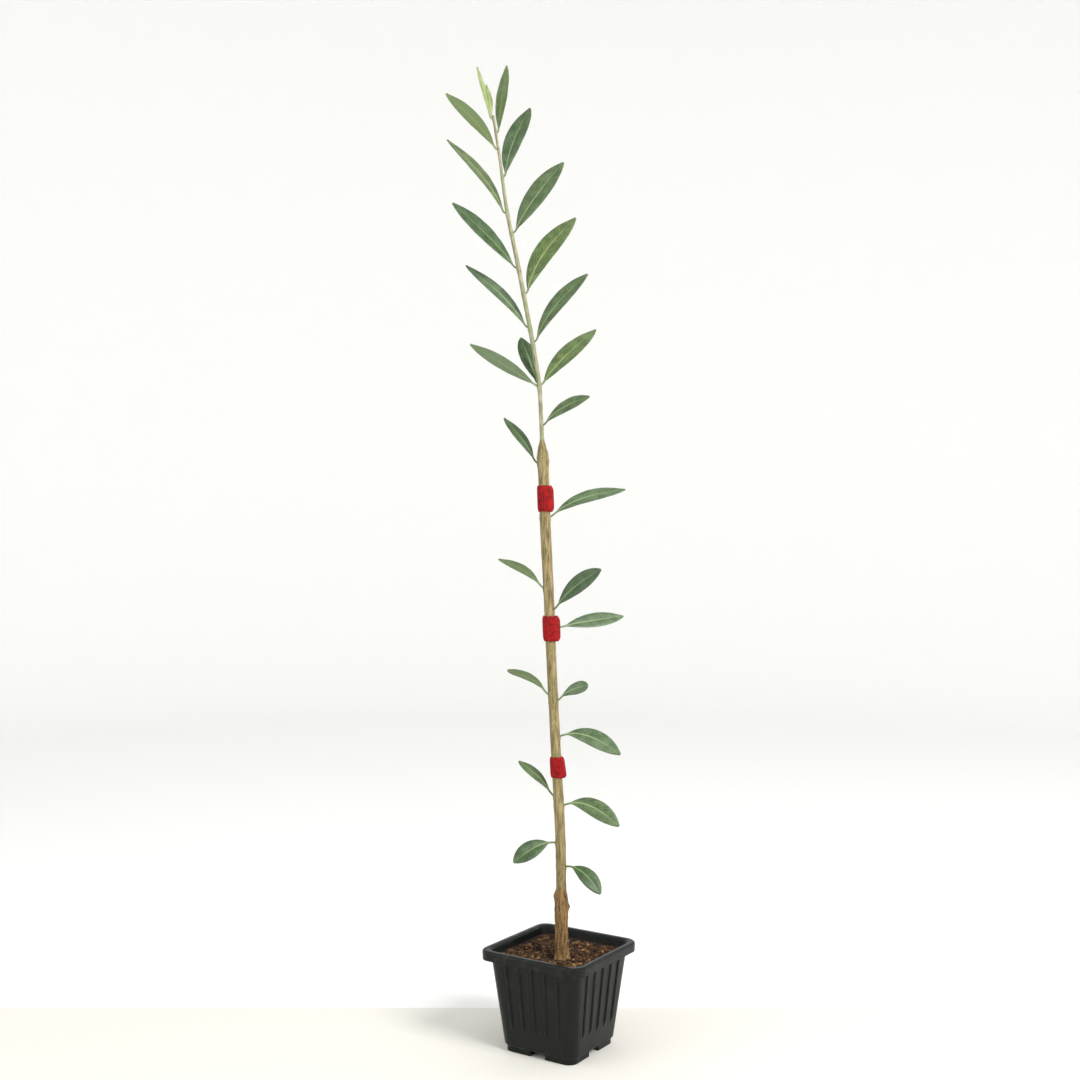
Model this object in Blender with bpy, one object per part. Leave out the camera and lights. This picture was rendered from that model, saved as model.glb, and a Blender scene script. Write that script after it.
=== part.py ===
"""A young grafted olive tree in a square nursery pot.

One slender stem stands in a black pot of compost. A thin leader grows on from its neck, single
leaves stand off both, and three red tapes are wound round the stem. Sizes are in millimetres
and angles in degrees until a mesh is made. The floor is Z = 0, X and Y are square to the pot,
and the origin lies under the middle of the whole plant's outline.
"""

import math
from collections import namedtuple

import bmesh
import bpy
from mathutils import Vector

MM = 0.001
CLEAR = 0.3                    # gap between pieces that touch

# The pot
POT_PLACE = (11.0, 10.0)       # middle of the pot, seen from the middle of the whole outline
POT_HEIGHT = 68.5
RIM_SIDE = 80.0
RIM_BAND = 6.5                 # height of the turned-down rim
RIM_CORNER = 8.5
LIP = 4.3                      # width of the rim, seen from above
BODY_TOP_SIDE = 70.6
BODY_FOOT_SIDE = 57.6
BODY_CORNER = 8.0
WALL = 1.1
FLOOR = 1.2
CORNER_STEPS = 6
PAD_HEIGHT = 4.0               # the corner pads that the pot stands on
PAD_SIDE = 54.6
PAD_WIDTH = 5.5
PAD_GAP = 12.0
BEADS_A_SIDE = 5
BEAD_WIDTH = 2.6
BEAD_PROUD = 0.95
BEAD_PITCH_TOP = 10.2
BEAD_PITCH_FOOT = 8.7
BEAD_FOOT = 16.0
BEAD_TOP = 63.0
DRAIN_RADIUS = 3.5
DRAIN_OFFSET = 14.0

# The compost
COMPOST_EDGE = 63.2            # height where it meets the wall
COMPOST_MIDDLE = 61.6          # height of the level ground round the stem

# The plant's own frame: its leaves stand in a fan that is turned on the pot
FAN_TURN = 33.4
STEM_SIDES = 16
LEADER_SIDES = 10
NECK = 411.3                   # the stem ends here and the leader goes on
LEADER_TIP = 632.0

# Middle line of stem and leader: height, across the fan, behind the fan
STEM_LINE = (
    (61.9, 1.6, -8.0),
    (125.0, 1.0, -7.6),
    (162.0, -0.4, -7.2),
    (240.0, -4.4, -6.4),
    (330.0, -8.4, -5.6),
    (411.0, -11.8, -5.0),
    (448.0, -13.7, -4.8),
    (475.0, -17.8, -4.6),
    (534.0, -28.9, -3.8),
    (567.0, -35.6, -3.4),
    (606.0, -41.0, -2.8),
    (644.0, -47.0, -2.0),
)

# Radius of stem and leader: height, radius
STEM_GIRTH = (
    (61.9, 5.8),               # root flare
    (65.5, 4.9),
    (81.0, 4.2),
    (98.0, 4.5),               # graft union
    (111.0, 3.4),
    (128.0, 3.5),
    (236.0, 3.3),
    (330.0, 3.6),
    (388.0, 3.7),
    (398.0, 4.0),              # swelling under the neck
    (403.0, 3.5),
    (408.0, 2.3),
    (411.3, 1.6),
    (416.0, 1.4),
    (534.0, 1.5),
    (590.0, 1.05),
    (632.0, 0.8),
)

# Stubs of cut shoots at the graft union
Stub = namedtuple("Stub", "height turn proud spread")
STUBS = (
    Stub(104.5, 185, 1.2, 2.6),
    Stub(96.5, -10, 1.3, 2.4),
    Stub(91.0, 240, 0.7, 3.0),
    Stub(101.0, 300, 0.6, 3.2),
)

# Tapes round the stem: foot and top height, least and greatest thickness, side of the overlap
Tape = namedtuple("Tape", "name foot top thin thick turn flare")
TAPES = (
    Tape("tape_top", 363.0, 380.5, 0.9, 2.3, 0, 0.0),
    Tape("tape_middle", 275.5, 292.5, 1.3, 3.0, 0, 0.0),
    Tape("tape_low", 183.5, 197.5, 0.8, 1.4, 0, 1.2),
)
TAPE_RINGS = 4

# The leaves. turn is the side of the stem that a leaf stands on, counted from the fan's right
# hand side; lift and droop are its slopes at the foot and at the tip; roll is how far its
# upper face is turned round its own length; blunt rounds its tip.
Leaf = namedtuple("Leaf", "name height turn length lift droop width roll blunt")
LEAVES = (
    Leaf("young_leaf_1", 629.5, 198, 36.0, 80, 72, 6.5, -50, 0.0),
    Leaf("young_leaf_2", 630.5, 120, 27.0, 82, 68, 5.5, 10, 0.0),
    Leaf("leaf_01", 620.5, 45, 49.0, 84, 79, 13.0, -6, 0.0),
    Leaf("leaf_02", 608.5, 208, 50.0, 57, 33, 12.5, 14, 0.0),
    Leaf("leaf_03", 590.5, 35, 55.5, 86, 59, 15.5, 26, 0.1),
    Leaf("leaf_04", 565.5, 165, 68.0, 70, 44, 14.0, -24, 0.0),
    Leaf("leaf_05", 552.0, -15, 57.5, 67, 46, 16.5, 72, 0.0),
    Leaf("leaf_06", 528.0, 195, 60.5, 53, 39, 15.0, -58, 0.0),
    Leaf("leaf_07", 511.0, 28, 69.0, 80, 44, 16.5, 40, 0.0),
    Leaf("leaf_08", 488.0, 162, 63.5, 61, 38, 13.5, -28, 0.0),
    Leaf("leaf_09", 478.0, -22, 58.5, 74, 37, 14.5, 63, 0.0),
    Leaf("leaf_10", 450.5, 130, 37.0, 69, 60, 12.5, -20, 0.3),
    Leaf("leaf_11", 448.0, 205, 55.0, 30, 26, 12.0, 27, 0.0),
    Leaf("leaf_12", 449.0, 32, 61.0, 55, 37, 15.0, 30, 0.0),
    Leaf("leaf_13", 421.5, -30, 40.0, 53, 14, 10.5, 64, 0.0),
    Leaf("leaf_14", 396.0, 150, 41.5, 68, 44, 10.5, -19, 0.0),
    Leaf("leaf_15", 359.5, 18, 58.5, 43, 8, 11.5, 41, 0.0),
    Leaf("leaf_16", 311.5, 208, 39.5, 59, 18, 9.0, 28, 0.0),
    Leaf("leaf_17", 297.0, -32, 46.0, 58, 28, 13.0, 76, 0.2),
    Leaf("leaf_18", 284.5, 25, 50.0, 12, 5, 11.5, 52, 0.0),
    Leaf("leaf_19", 239.5, 208, 36.5, 64, 16, 9.0, 31, 0.8),
    Leaf("leaf_20", 235.5, -35, 27.5, 57, 12, 9.0, 70, 1.0),
    Leaf("leaf_21", 211.5, -22, 46.0, 25, -32, 12.5, 54, 0.0),
    Leaf("leaf_22", 171.0, 155, 34.0, 64, 30, 8.5, -27, 0.3),
    Leaf("leaf_23", 165.0, -20, 43.0, 27, -38, 12.5, 57, 0.0),
    Leaf("leaf_24", 140.0, 205, 33.5, 10, -33, 12.5, -49, 0.1),
    Leaf("leaf_25", 124.0, -32, 32.5, 13, -50, 11.5, 39, 0.1),
)
LEAF_THICK = 0.7
LEAF_FOLD = 0.12               # how far the edges stand above the midrib, over half the width
STALK_ON_LEADER = 3.0
STALK_ON_STEM = 5.0
STALK_RADIUS = 0.6
STALK_SPRING = 35              # a steep stalk stands off the stem this steeply, then turns up
BLADE_STATIONS = (0.06, 0.15, 0.27, 0.40, 0.53, 0.66, 0.78, 0.88, 0.95, 1.0)
WALK_STEPS = 48

for leftover in list(bpy.data.objects):
    bpy.data.objects.remove(leftover, do_unlink=True)


def make_material(name, colour, roughness):
    material = bpy.data.materials.new(name)
    material.use_nodes = True
    shader = material.node_tree.nodes["Principled BSDF"]
    shader.inputs["Base Color"].default_value = (*colour, 1.0)
    shader.inputs["Roughness"].default_value = roughness
    shader.inputs["Metallic"].default_value = 0.0
    return material


BLACK_PLASTIC = make_material("black_plastic", (0.022, 0.026, 0.025), 0.45)
COMPOST = make_material("compost", (0.055, 0.030, 0.016), 0.95)
BARK = make_material("bark", (0.40, 0.31, 0.17), 0.85)
GREEN_BARK = make_material("green_bark", (0.42, 0.40, 0.27), 0.70)
RED_TAPE = make_material("red_tape", (0.58, 0.015, 0.018), 0.60)
LEAF_GREEN = make_material("leaf_green", (0.13, 0.24, 0.09), 0.50)
YOUNG_GREEN = make_material("young_green", (0.42, 0.55, 0.26), 0.50)


def make_object(name, points, faces, material, parent=None):
    """A mesh object from points in millimetres, its faces turned outwards."""
    mesh = bpy.data.meshes.new(name)
    mesh.from_pydata([Vector(point) * MM for point in points], [], faces)
    shell = bmesh.new()
    shell.from_mesh(mesh)
    bmesh.ops.recalc_face_normals(shell, faces=shell.faces)
    shell.to_mesh(mesh)
    shell.free()
    mesh.materials.append(material)
    mesh.shade_smooth()
    mesh.set_sharp_from_angle(angle=math.radians(40))
    made = bpy.data.objects.new(name, mesh)
    bpy.context.scene.collection.objects.link(made)
    made.parent = parent
    return made


def skin(rings, closed=False):
    """Points and faces of a skin over rings of equal length.

    The two ends are capped, or joined to each other where the rings close on themselves.
    """
    count = len(rings[0])
    points = [point for ring in rings for point in ring]
    faces = []
    for level in range(len(rings) if closed else len(rings) - 1):
        low = level * count
        high = (level + 1) % len(rings) * count
        for i in range(count):
            j = (i + 1) % count
            faces.append((low + i, low + j, high + j, high + i))
    if not closed:
        last = (len(rings) - 1) * count
        faces.append(tuple(reversed(range(count))))
        faces.append(tuple(last + i for i in range(count)))
    return points, faces


def several(shapes):
    """One list of points and faces for separate closed shapes."""
    points, faces = [], []
    for shape_points, shape_faces in shapes:
        first = len(points)
        points.extend(shape_points)
        faces.extend(tuple(first + i for i in face) for face in shape_faces)
    return points, faces


def hide_helper(helper):
    helper.hide_render = True
    helper.display_type = "WIRE"


def add_boolean(target, helper, operation):
    modifier = target.modifiers.new(helper.name, "BOOLEAN")
    modifier.operation = operation
    modifier.object = helper
    hide_helper(helper)


def rounded_square(side, corner, height):
    """One ring of a square with round corners."""
    ring = []
    for quarter in range(4):
        for step in range(CORNER_STEPS + 1):
            angle = math.radians(90 * quarter + 90 * step / CORNER_STEPS)
            toward = math.radians(90 * quarter + 45)
            centre = (side / 2 - corner) * math.sqrt(2)
            ring.append((
                centre * math.cos(toward) + corner * math.cos(angle),
                centre * math.sin(toward) + corner * math.sin(angle),
                height,
            ))
    return ring


def quarter_turn(point, quarter):
    x, y, z = point
    for _ in range(quarter):
        x, y = -y, x
    return x, y, z


def body_side(height):
    """Outer side of the pot's tapered body at a height."""
    share = (height - PAD_HEIGHT) / (POT_HEIGHT - RIM_BAND - PAD_HEIGHT)
    return BODY_FOOT_SIDE + (BODY_TOP_SIDE - BODY_FOOT_SIDE) * share


def inner_side(height):
    return body_side(height) - 2 * WALL


def pot_rings():
    """The pot's skin: up the outside, over the rim and down the inside."""
    rim_foot = POT_HEIGHT - RIM_BAND
    roof = POT_HEIGHT - 1.9                # underside of the rim's top
    skirt = 2 * WALL                       # taken off the side for the skirt's inner face
    inner_corner = BODY_CORNER - WALL
    mouth = RIM_SIDE - 2 * LIP
    floor_top = PAD_HEIGHT + FLOOR
    profile = (
        (PAD_HEIGHT, BODY_FOOT_SIDE - 1.2, BODY_CORNER - 0.6),
        (PAD_HEIGHT + 0.8, body_side(PAD_HEIGHT + 0.8), BODY_CORNER),
        (rim_foot, BODY_TOP_SIDE, BODY_CORNER),
        (roof, BODY_TOP_SIDE + 1.2, BODY_CORNER),
        (roof, RIM_SIDE - skirt - 0.4, RIM_CORNER - WALL),
        (rim_foot, RIM_SIDE - skirt, RIM_CORNER - WALL),
        (rim_foot, RIM_SIDE - 0.4, RIM_CORNER),
        (POT_HEIGHT - 1.7, RIM_SIDE, RIM_CORNER),
        (POT_HEIGHT - 0.6, RIM_SIDE - 0.6, RIM_CORNER - 0.2),
        (POT_HEIGHT, RIM_SIDE - 2.2, RIM_CORNER - 0.8),
        (POT_HEIGHT, mouth + 2.2, inner_corner + 0.9),
        (POT_HEIGHT - 0.4, mouth + 0.6, inner_corner + 0.4),
        (POT_HEIGHT - 1.4, mouth - 1.2, inner_corner),
        (rim_foot, inner_side(rim_foot), inner_corner),
        (floor_top, inner_side(floor_top), inner_corner),
    )
    return [rounded_square(side, corner, height) for height, side, corner in profile]


def bead(quarter, place):
    """One moulded bead down a side, sunk into the wall and dying out at its foot."""
    half = BEAD_WIDTH / 2
    rings = []
    for height, proud in ((BEAD_FOOT, 0.1), (BEAD_FOOT + 4.0, BEAD_PROUD), (BEAD_TOP, BEAD_PROUD)):
        share = (height - PAD_HEIGHT) / (BEAD_TOP - PAD_HEIGHT)
        along = place * (BEAD_PITCH_FOOT + (BEAD_PITCH_TOP - BEAD_PITCH_FOOT) * share)
        face = body_side(height) / 2
        section = (
            (-half, -WALL / 2),
            (-half, proud * 0.25),
            (-half * 0.5, proud),
            (half * 0.5, proud),
            (half, proud * 0.25),
            (half, -WALL / 2),
        )
        rings.append([
            quarter_turn((face + out, along + across, height), quarter) for across, out in section
        ])
    return skin(rings)


def corner_pad(quarter):
    """One L-shaped pad under a corner, sunk into the pot's floor."""
    half = PAD_SIDE / 2
    inner = half - PAD_WIDTH
    corner = BODY_CORNER - 1.5
    outline = [(half, PAD_GAP / 2)]
    for step in range(CORNER_STEPS + 1):
        angle = math.radians(90 * step / CORNER_STEPS)
        outline.append((
            half - corner + corner * math.cos(angle),
            half - corner + corner * math.sin(angle),
        ))
    outline += [(PAD_GAP / 2, half), (PAD_GAP / 2, inner), (inner, inner), (inner, PAD_GAP / 2)]
    rings = []
    for height in (0.0, PAD_HEIGHT + FLOOR / 2):
        rings.append([quarter_turn((x, y, height), quarter) for x, y in outline])
    return skin(rings)


def drain(x, y):
    rings = []
    for height in (PAD_HEIGHT - 1.0, PAD_HEIGHT + FLOOR + 1.0):
        rings.append([
            (
                x + DRAIN_RADIUS * math.cos(math.radians(30 * step)),
                y + DRAIN_RADIUS * math.sin(math.radians(30 * step)),
                height,
            )
            for step in range(12)
        ])
    return skin(rings)


def make_pot(parent):
    pot = make_object("pot", *skin(pot_rings()), BLACK_PLASTIC, parent)
    places = [i - (BEADS_A_SIDE - 1) / 2 for i in range(BEADS_A_SIDE)]
    beads = [bead(quarter, place) for quarter in range(4) for place in places]
    pads = [corner_pad(quarter) for quarter in range(4)]
    corners = [(x, y) for x in (-DRAIN_OFFSET, DRAIN_OFFSET) for y in (-DRAIN_OFFSET, DRAIN_OFFSET)]
    drains = [drain(x, y) for x, y in corners + [(0.0, 0.0)]]
    add_boolean(pot, make_object("bead_guide", *several(beads), BLACK_PLASTIC, parent), "UNION")
    add_boolean(pot, make_object("pad_guide", *several(pads), BLACK_PLASTIC, parent), "UNION")
    add_boolean(pot, make_object("drain_cutter", *several(drains), BLACK_PLASTIC, parent), "DIFFERENCE")
    return pot


def make_compost(parent):
    """The compost fills the pot and dips a little towards the stem."""
    foot = PAD_HEIGHT + FLOOR + CLEAR
    corner = BODY_CORNER - WALL - CLEAR
    edge_side = inner_side(COMPOST_EDGE) - 2 * CLEAR
    rings = [
        rounded_square(inner_side(foot) - 2 * CLEAR, corner, foot),
        rounded_square(edge_side, corner, COMPOST_EDGE),
        rounded_square(edge_side * 0.80, corner, COMPOST_MIDDLE + 0.5),
        rounded_square(edge_side * 0.62, corner, COMPOST_MIDDLE),
    ]
    return make_object("compost", *skin(rings), COMPOST, parent)


def read_curve(knots, height):
    """Values at a height on a smooth curve through (height, value, ...) knots."""
    heights = [knot[0] for knot in knots]
    height = min(max(height, heights[0]), heights[-1])
    i = max(k for k in range(len(knots) - 1) if heights[k] <= height)
    span = heights[i + 1] - heights[i]
    t = (height - heights[i]) / span

    def slope(k, column):
        before, after = max(k - 1, 0), min(k + 1, len(knots) - 1)
        return (knots[after][column] - knots[before][column]) / (heights[after] - heights[before])

    values = []
    for column in range(1, len(knots[0])):
        start, end = knots[i][column], knots[i + 1][column]
        leave, arrive = slope(i, column) * span, slope(i + 1, column) * span
        values.append(
            start * (2 * t**3 - 3 * t**2 + 1)
            + leave * (t**3 - 2 * t**2 + t)
            + end * (3 * t**2 - 2 * t**3)
            + arrive * (t**3 - t**2)
        )
    return values


def stem_centre(height):
    across, behind = read_curve(STEM_LINE, height)
    return Vector((across, behind, height))


def stem_radius(height, angle):
    """Radius of stem or leader on one side, with its shallow ridges and its stubs."""
    radius = read_curve(STEM_GIRTH, height)[0]
    if height > NECK:
        return radius
    radius *= 1 + 0.03 * math.sin(3 * angle + height / 21) + 0.02 * math.sin(5 * angle - height / 13)
    for stub in STUBS:
        round_by = math.remainder(angle - math.radians(stub.turn), math.tau) * radius
        off = math.hypot(round_by, height - stub.height) / stub.spread
        radius += stub.proud * math.exp(-off * off)
    return radius


def stem_point(height, angle, out=0.0):
    reach = stem_radius(height, angle) + out
    return stem_centre(height) + Vector((math.cos(angle), math.sin(angle), 0)) * reach


def stem_ring(height, sides, out=0.0):
    return [stem_point(height, math.tau * i / sides, out) for i in range(sides)]


def levels(start, end, spacing):
    count = math.ceil((end - start) / spacing)
    return [start + (end - start) * i / count for i in range(count + 1)]


def make_trunk(parent):
    """Rootstock, graft union and stem, from a flat cut on the compost up to the neck."""
    foot = COMPOST_MIDDLE + CLEAR
    heights = levels(foot, 70.0, 2.7)
    heights += levels(70.0, 112.0, 3.0)[1:]
    heights += levels(112.0, 386.0, 11.5)[1:]
    heights += levels(386.0, NECK, 3.2)[1:]
    rings = [stem_ring(height, STEM_SIDES) for height in heights]
    return make_object("trunk", *skin(rings), BARK, parent)


def make_leader(parent):
    rings = [stem_ring(height, LEADER_SIDES) for height in levels(NECK + CLEAR, LEADER_TIP, 10.0)]
    return make_object("leader", *skin(rings), GREEN_BARK, parent)


def tape_thickness(tape, height, angle):
    """Thickness of the wound tape, greatest at its overlap."""
    overlap = max(0.0, math.cos(angle - math.radians(tape.turn))) ** 1.5
    share = (height - tape.foot) / (tape.top - tape.foot)
    edge = 1 - 0.25 * (2 * share - 1) ** 4
    return (tape.thin + (tape.thick - tape.thin) * overlap) * edge + tape.flare * overlap * (1 - share)


def make_tape(tape, parent):
    """A band wound round the stem: one closed ring with a clear bore."""
    heights = levels(tape.foot, tape.top, (tape.top - tape.foot) / (TAPE_RINGS - 1))
    angles = [math.tau * i / STEM_SIDES for i in range(STEM_SIDES)]
    outer = [
        [stem_point(h, angle, CLEAR + tape_thickness(tape, h, angle)) for angle in angles]
        for h in heights
    ]
    inner = [stem_ring(h, STEM_SIDES, CLEAR) for h in reversed(heights)]
    return make_object(tape.name, *skin(outer + inner, closed=True), RED_TAPE, parent)


def tape_at(height):
    return next((tape for tape in TAPES if tape.foot < height < tape.top), None)


def leaf_foot(leaf):
    """Where the stalk starts: just clear of the stem, or of a tape that covers it there."""
    angle = math.radians(leaf.turn)
    tape = tape_at(leaf.height)
    out = CLEAR
    if tape:
        out += CLEAR + tape_thickness(tape, leaf.height, angle)
    return stem_point(leaf.height, angle, out)


def stalk_share(leaf):
    """Share of the leaf's length that is stalk."""
    return (STALK_ON_LEADER if leaf.height > NECK else STALK_ON_STEM) / leaf.length


def leaf_slope(leaf, share):
    """Slope of the leaf, which springs off the stem and arches over towards its tip."""
    slope = leaf.droop + (leaf.lift - leaf.droop) * (1 - share) ** 2
    spring = max(0.0, 1 - share / stalk_share(leaf))
    return math.radians(slope - max(0.0, slope - STALK_SPRING) * spring)


def leaf_point(leaf, share):
    """The point a share of the way along the leaf's middle line."""
    outward = Vector((math.cos(math.radians(leaf.turn)), math.sin(math.radians(leaf.turn)), 0))
    point = leaf_foot(leaf)
    step = share * leaf.length / WALK_STEPS
    for i in range(WALK_STEPS):
        slope = leaf_slope(leaf, share * (i + 0.5) / WALK_STEPS)
        point += (outward * math.cos(slope) + Vector((0, 0, math.sin(slope)))) * step
    return point


def blade_half_width(leaf, share):
    """Half the blade's width: a lance shape that is widest just past its middle."""
    base_power = 0.90
    tip_power = 0.80 - 0.30 * leaf.blunt
    widest = base_power / (base_power + tip_power)
    full = widest**base_power * (1 - widest) ** tip_power
    return leaf.width / 2 * share**base_power * (1 - share) ** tip_power / full


def leaf_ring(leaf, share):
    """Six points round the leaf at one place along it."""
    stalk = stalk_share(leaf)
    turn = math.radians(leaf.turn)
    outward = Vector((math.cos(turn), math.sin(turn), 0))
    level_side = Vector((math.sin(turn), -math.cos(turn), 0))
    if share == 0:
        face_up, sideways = Vector((0, 0, 1)), level_side
    else:
        slope = leaf_slope(leaf, share)
        level_face = Vector((0, 0, math.cos(slope))) - outward * math.sin(slope)
        roll = math.radians(leaf.roll) * min(1.0, share / stalk)
        face_up = level_face * math.cos(roll) + level_side * math.sin(roll)
        sideways = level_side * math.cos(roll) - level_face * math.sin(roll)
    blade_share = max(0.0, (share - stalk) / (1 - stalk))
    half_width = max(STALK_RADIUS, blade_half_width(leaf, blade_share))
    edge = LEAF_THICK / 2 if half_width > STALK_RADIUS else STALK_RADIUS / 2
    middle = LEAF_THICK / 2 + 0.2
    lift = LEAF_FOLD * (half_width - STALK_RADIUS)
    section = (
        (-half_width, lift - edge),
        (0, -middle),
        (half_width, lift - edge),
        (half_width, lift + edge),
        (0, middle),
        (-half_width, lift + edge),
    )
    middle_point = leaf_point(leaf, share)
    return [middle_point + sideways * across + face_up * up for across, up in section]


def make_leaf(leaf, parent):
    """One leaf: a short stalk that stands off the stem, and a folded, arching blade."""
    stalk = stalk_share(leaf)
    shares = [0.0, stalk * 0.55, stalk]
    shares += [stalk + (1 - stalk) * share for share in BLADE_STATIONS]
    rings = [leaf_ring(leaf, share) for share in shares]
    material = YOUNG_GREEN if leaf.name.startswith("young") else LEAF_GREEN
    return make_object(leaf.name, *skin(rings), material, parent)


pot_place = bpy.data.objects.new("pot_place", None)
bpy.context.scene.collection.objects.link(pot_place)
pot_place.location = Vector((*POT_PLACE, 0)) * MM

plant_place = bpy.data.objects.new("plant_place", None)
bpy.context.scene.collection.objects.link(plant_place)
plant_place.parent = pot_place
plant_place.rotation_euler.z = math.radians(FAN_TURN)

make_pot(pot_place)
make_compost(pot_place)
make_trunk(plant_place)
make_leader(plant_place)
for tape in TAPES:
    make_tape(tape, plant_place)
for leaf in LEAVES:
    make_leaf(leaf, plant_place)
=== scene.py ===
import math
import random
from collections import namedtuple

import bpy
from mathutils import Matrix, Vector, noise


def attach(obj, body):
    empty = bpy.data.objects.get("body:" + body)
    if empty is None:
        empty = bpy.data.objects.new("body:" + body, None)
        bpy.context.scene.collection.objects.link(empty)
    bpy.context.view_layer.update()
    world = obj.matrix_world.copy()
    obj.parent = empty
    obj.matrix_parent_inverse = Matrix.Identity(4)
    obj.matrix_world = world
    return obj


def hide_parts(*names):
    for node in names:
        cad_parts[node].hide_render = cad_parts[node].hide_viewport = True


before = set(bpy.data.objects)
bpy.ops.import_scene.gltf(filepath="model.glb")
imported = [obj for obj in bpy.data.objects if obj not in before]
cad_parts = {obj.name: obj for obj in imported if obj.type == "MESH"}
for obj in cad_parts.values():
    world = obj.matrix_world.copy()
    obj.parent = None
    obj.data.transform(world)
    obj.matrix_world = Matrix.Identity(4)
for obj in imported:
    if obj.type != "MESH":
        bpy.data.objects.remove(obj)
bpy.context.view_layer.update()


# The pot: one injection moulding of black polypropylene, with a turned-down rim, five beads
# down each side and corner pads that keep its drain holes off the ground.

MM = 0.001
POT_PLACE = (11.0, 10.0)       # middle of the pot in the plan, in millimetres


def paint(red, green, blue):
    """A colour from its 0 to 255 values on a paint card."""
    shares = [value / 255 for value in (red, green, blue)]
    return (*[s / 12.92 if s < 0.04 else ((s + 0.055) / 1.055) ** 2.4 for s in shares], 1.0)


def fill_socket(tree, socket, value):
    """Links a socket to another node's output, or sets its own number or colour."""
    if isinstance(value, bpy.types.NodeSocket):
        tree.links.new(value, socket)
    else:
        socket.default_value = value


def add_node(tree, kind, settings=None, **sockets):
    """A shader node with its settings made and its sockets filled or linked."""
    node = tree.nodes.new("ShaderNode" + kind)
    for name, value in (settings or {}).items():
        setattr(node, name, value)
    for name, value in sockets.items():
        fill_socket(tree, node.inputs[name], value)
    return node


def blend_colours(tree, share, first, second):
    """A mix of two colours, by a share from 0 to 1."""
    node = tree.nodes.new("ShaderNodeMix")
    node.data_type = "RGBA"
    # The colours' sockets come after those for plain numbers and vectors.
    for place, value in ((0, share), (6, first), (7, second)):
        fill_socket(tree, node.inputs[place], value)
    return node.outputs[2]


def work_out(tree, operation, first, second=0.0):
    """One step of arithmetic on two values."""
    node = tree.nodes.new("ShaderNodeMath")
    node.operation = operation
    fill_socket(tree, node.inputs[0], first)
    fill_socket(tree, node.inputs[1], second)
    return node.outputs[0]


def ramp(tree, value, low, high, at_low=0.0, at_high=1.0):
    """A value eased from at_low, where it is low, to at_high, where it is high."""
    node = add_node(tree, "MapRange", {"interpolation_type": "SMOOTHSTEP"}, Value=value)
    node.inputs["From Min"].default_value = low
    node.inputs["From Max"].default_value = high
    node.inputs["To Min"].default_value = at_low
    node.inputs["To Max"].default_value = at_high
    return node.outputs["Result"]


def times(tree, first, second):
    return work_out(tree, "MULTIPLY", first, second)


def noise_field(tree, vector, scale, detail=3.0, roughness=0.55):
    node = add_node(tree, "TexNoise", Vector=vector, Scale=scale, Detail=detail, Roughness=roughness)
    return node.outputs["Fac"]


def new_finish(name, roughness, specular=0.5):
    """A material, its node tree and its Principled shader."""
    material = bpy.data.materials.new(name)
    material.use_nodes = True
    tree = material.node_tree
    shader = tree.nodes["Principled BSDF"]
    shader.inputs["Roughness"].default_value = roughness
    shader.inputs["Specular IOR Level"].default_value = specular
    return material, tree, shader


def set_relief(tree, shader, height, strength, distance):
    bump = add_node(tree, "Bump", Height=height, Strength=strength, Distance=distance)
    tree.links.new(bump.outputs["Normal"], shader.inputs["Normal"])


def pot_plastic():
    """Black moulded plastic with flow marks, a fine spark texture and a trace of soil dust."""
    material, tree, shader = new_finish("pot_plastic", 0.38, 0.22)
    place = add_node(tree, "TexCoord").outputs["Object"]
    flow = noise_field(tree, place, 55.0)
    grain = noise_field(tree, place, 2600.0, 2.0)
    height = add_node(tree, "SeparateXYZ", Vector=place).outputs["Z"]
    dust_place = ramp(tree, height, 0.030, 0.069)          # from low on the side up to the rim
    dust_patches = ramp(tree, noise_field(tree, place, 190.0, 6.0), 0.50, 0.72)
    dust = times(tree, dust_patches, dust_place)
    base = blend_colours(tree, flow, paint(9, 13, 11), paint(18, 23, 21))
    colour = blend_colours(tree, times(tree, dust, 0.14), base, paint(84, 82, 74))
    tree.links.new(colour, shader.inputs["Base Color"])
    tree.links.new(ramp(tree, flow, 0.3, 0.7, 0.30, 0.42), shader.inputs["Roughness"])
    set_relief(tree, shader, grain, 0.25, 0.00012)
    return material


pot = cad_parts["pot"]
pot.data.materials.clear()
pot.data.materials.append(pot_plastic())


# The compost: milled bark and peat, dark and damp, filled to a few millimetres under the
# rim. Splinters of tan and brown bark lie on it in every direction.

COMPOST_FOOT = 5.6
COMPOST_GROUND = 61.9
COMPOST_FOOT_SIDE = 55.3
COMPOST_TOP_SIDE = 68.0
COMPOST_CORNER = 6.6
COMPOST_RINGS = 30             # rings of its surface, from the wall to the middle


def make_piece(name, points, faces, finishes, which=None, turn=0.0):
    """A smooth mesh piece from points in millimetres round the middle of the pot."""
    place = Matrix.Translation(Vector((*POT_PLACE, 0)) * MM) @ Matrix.Rotation(math.radians(turn), 4, "Z")
    mesh = bpy.data.meshes.new(name)
    mesh.from_pydata([place @ (Vector(point) * MM) for point in points], [], faces)
    for finish in finishes:
        mesh.materials.append(finish)
    if which:
        mesh.polygons.foreach_set("material_index", which)
    mesh.shade_smooth()
    piece = bpy.data.objects.new(name, mesh)
    bpy.context.scene.collection.objects.link(piece)
    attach(piece, "root")
    return piece


def rounded_square(side, corner, height, steps=8):
    """Points round a square with round corners, with twice as many along each side."""
    ring = []
    flat = side / 2 - corner
    for quarter in range(4):
        spin = Matrix.Rotation(math.radians(90 * quarter), 3, "Z")
        for step in range(steps):
            angle = math.radians(90 * step / steps)
            spot = (flat + corner * math.cos(angle), flat + corner * math.sin(angle), height)
            ring.append(spin @ Vector(spot))
        for step in range(steps * 2):
            ring.append(spin @ Vector((flat - 2 * flat * step / (steps * 2), side / 2, height)))
    return ring


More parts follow.
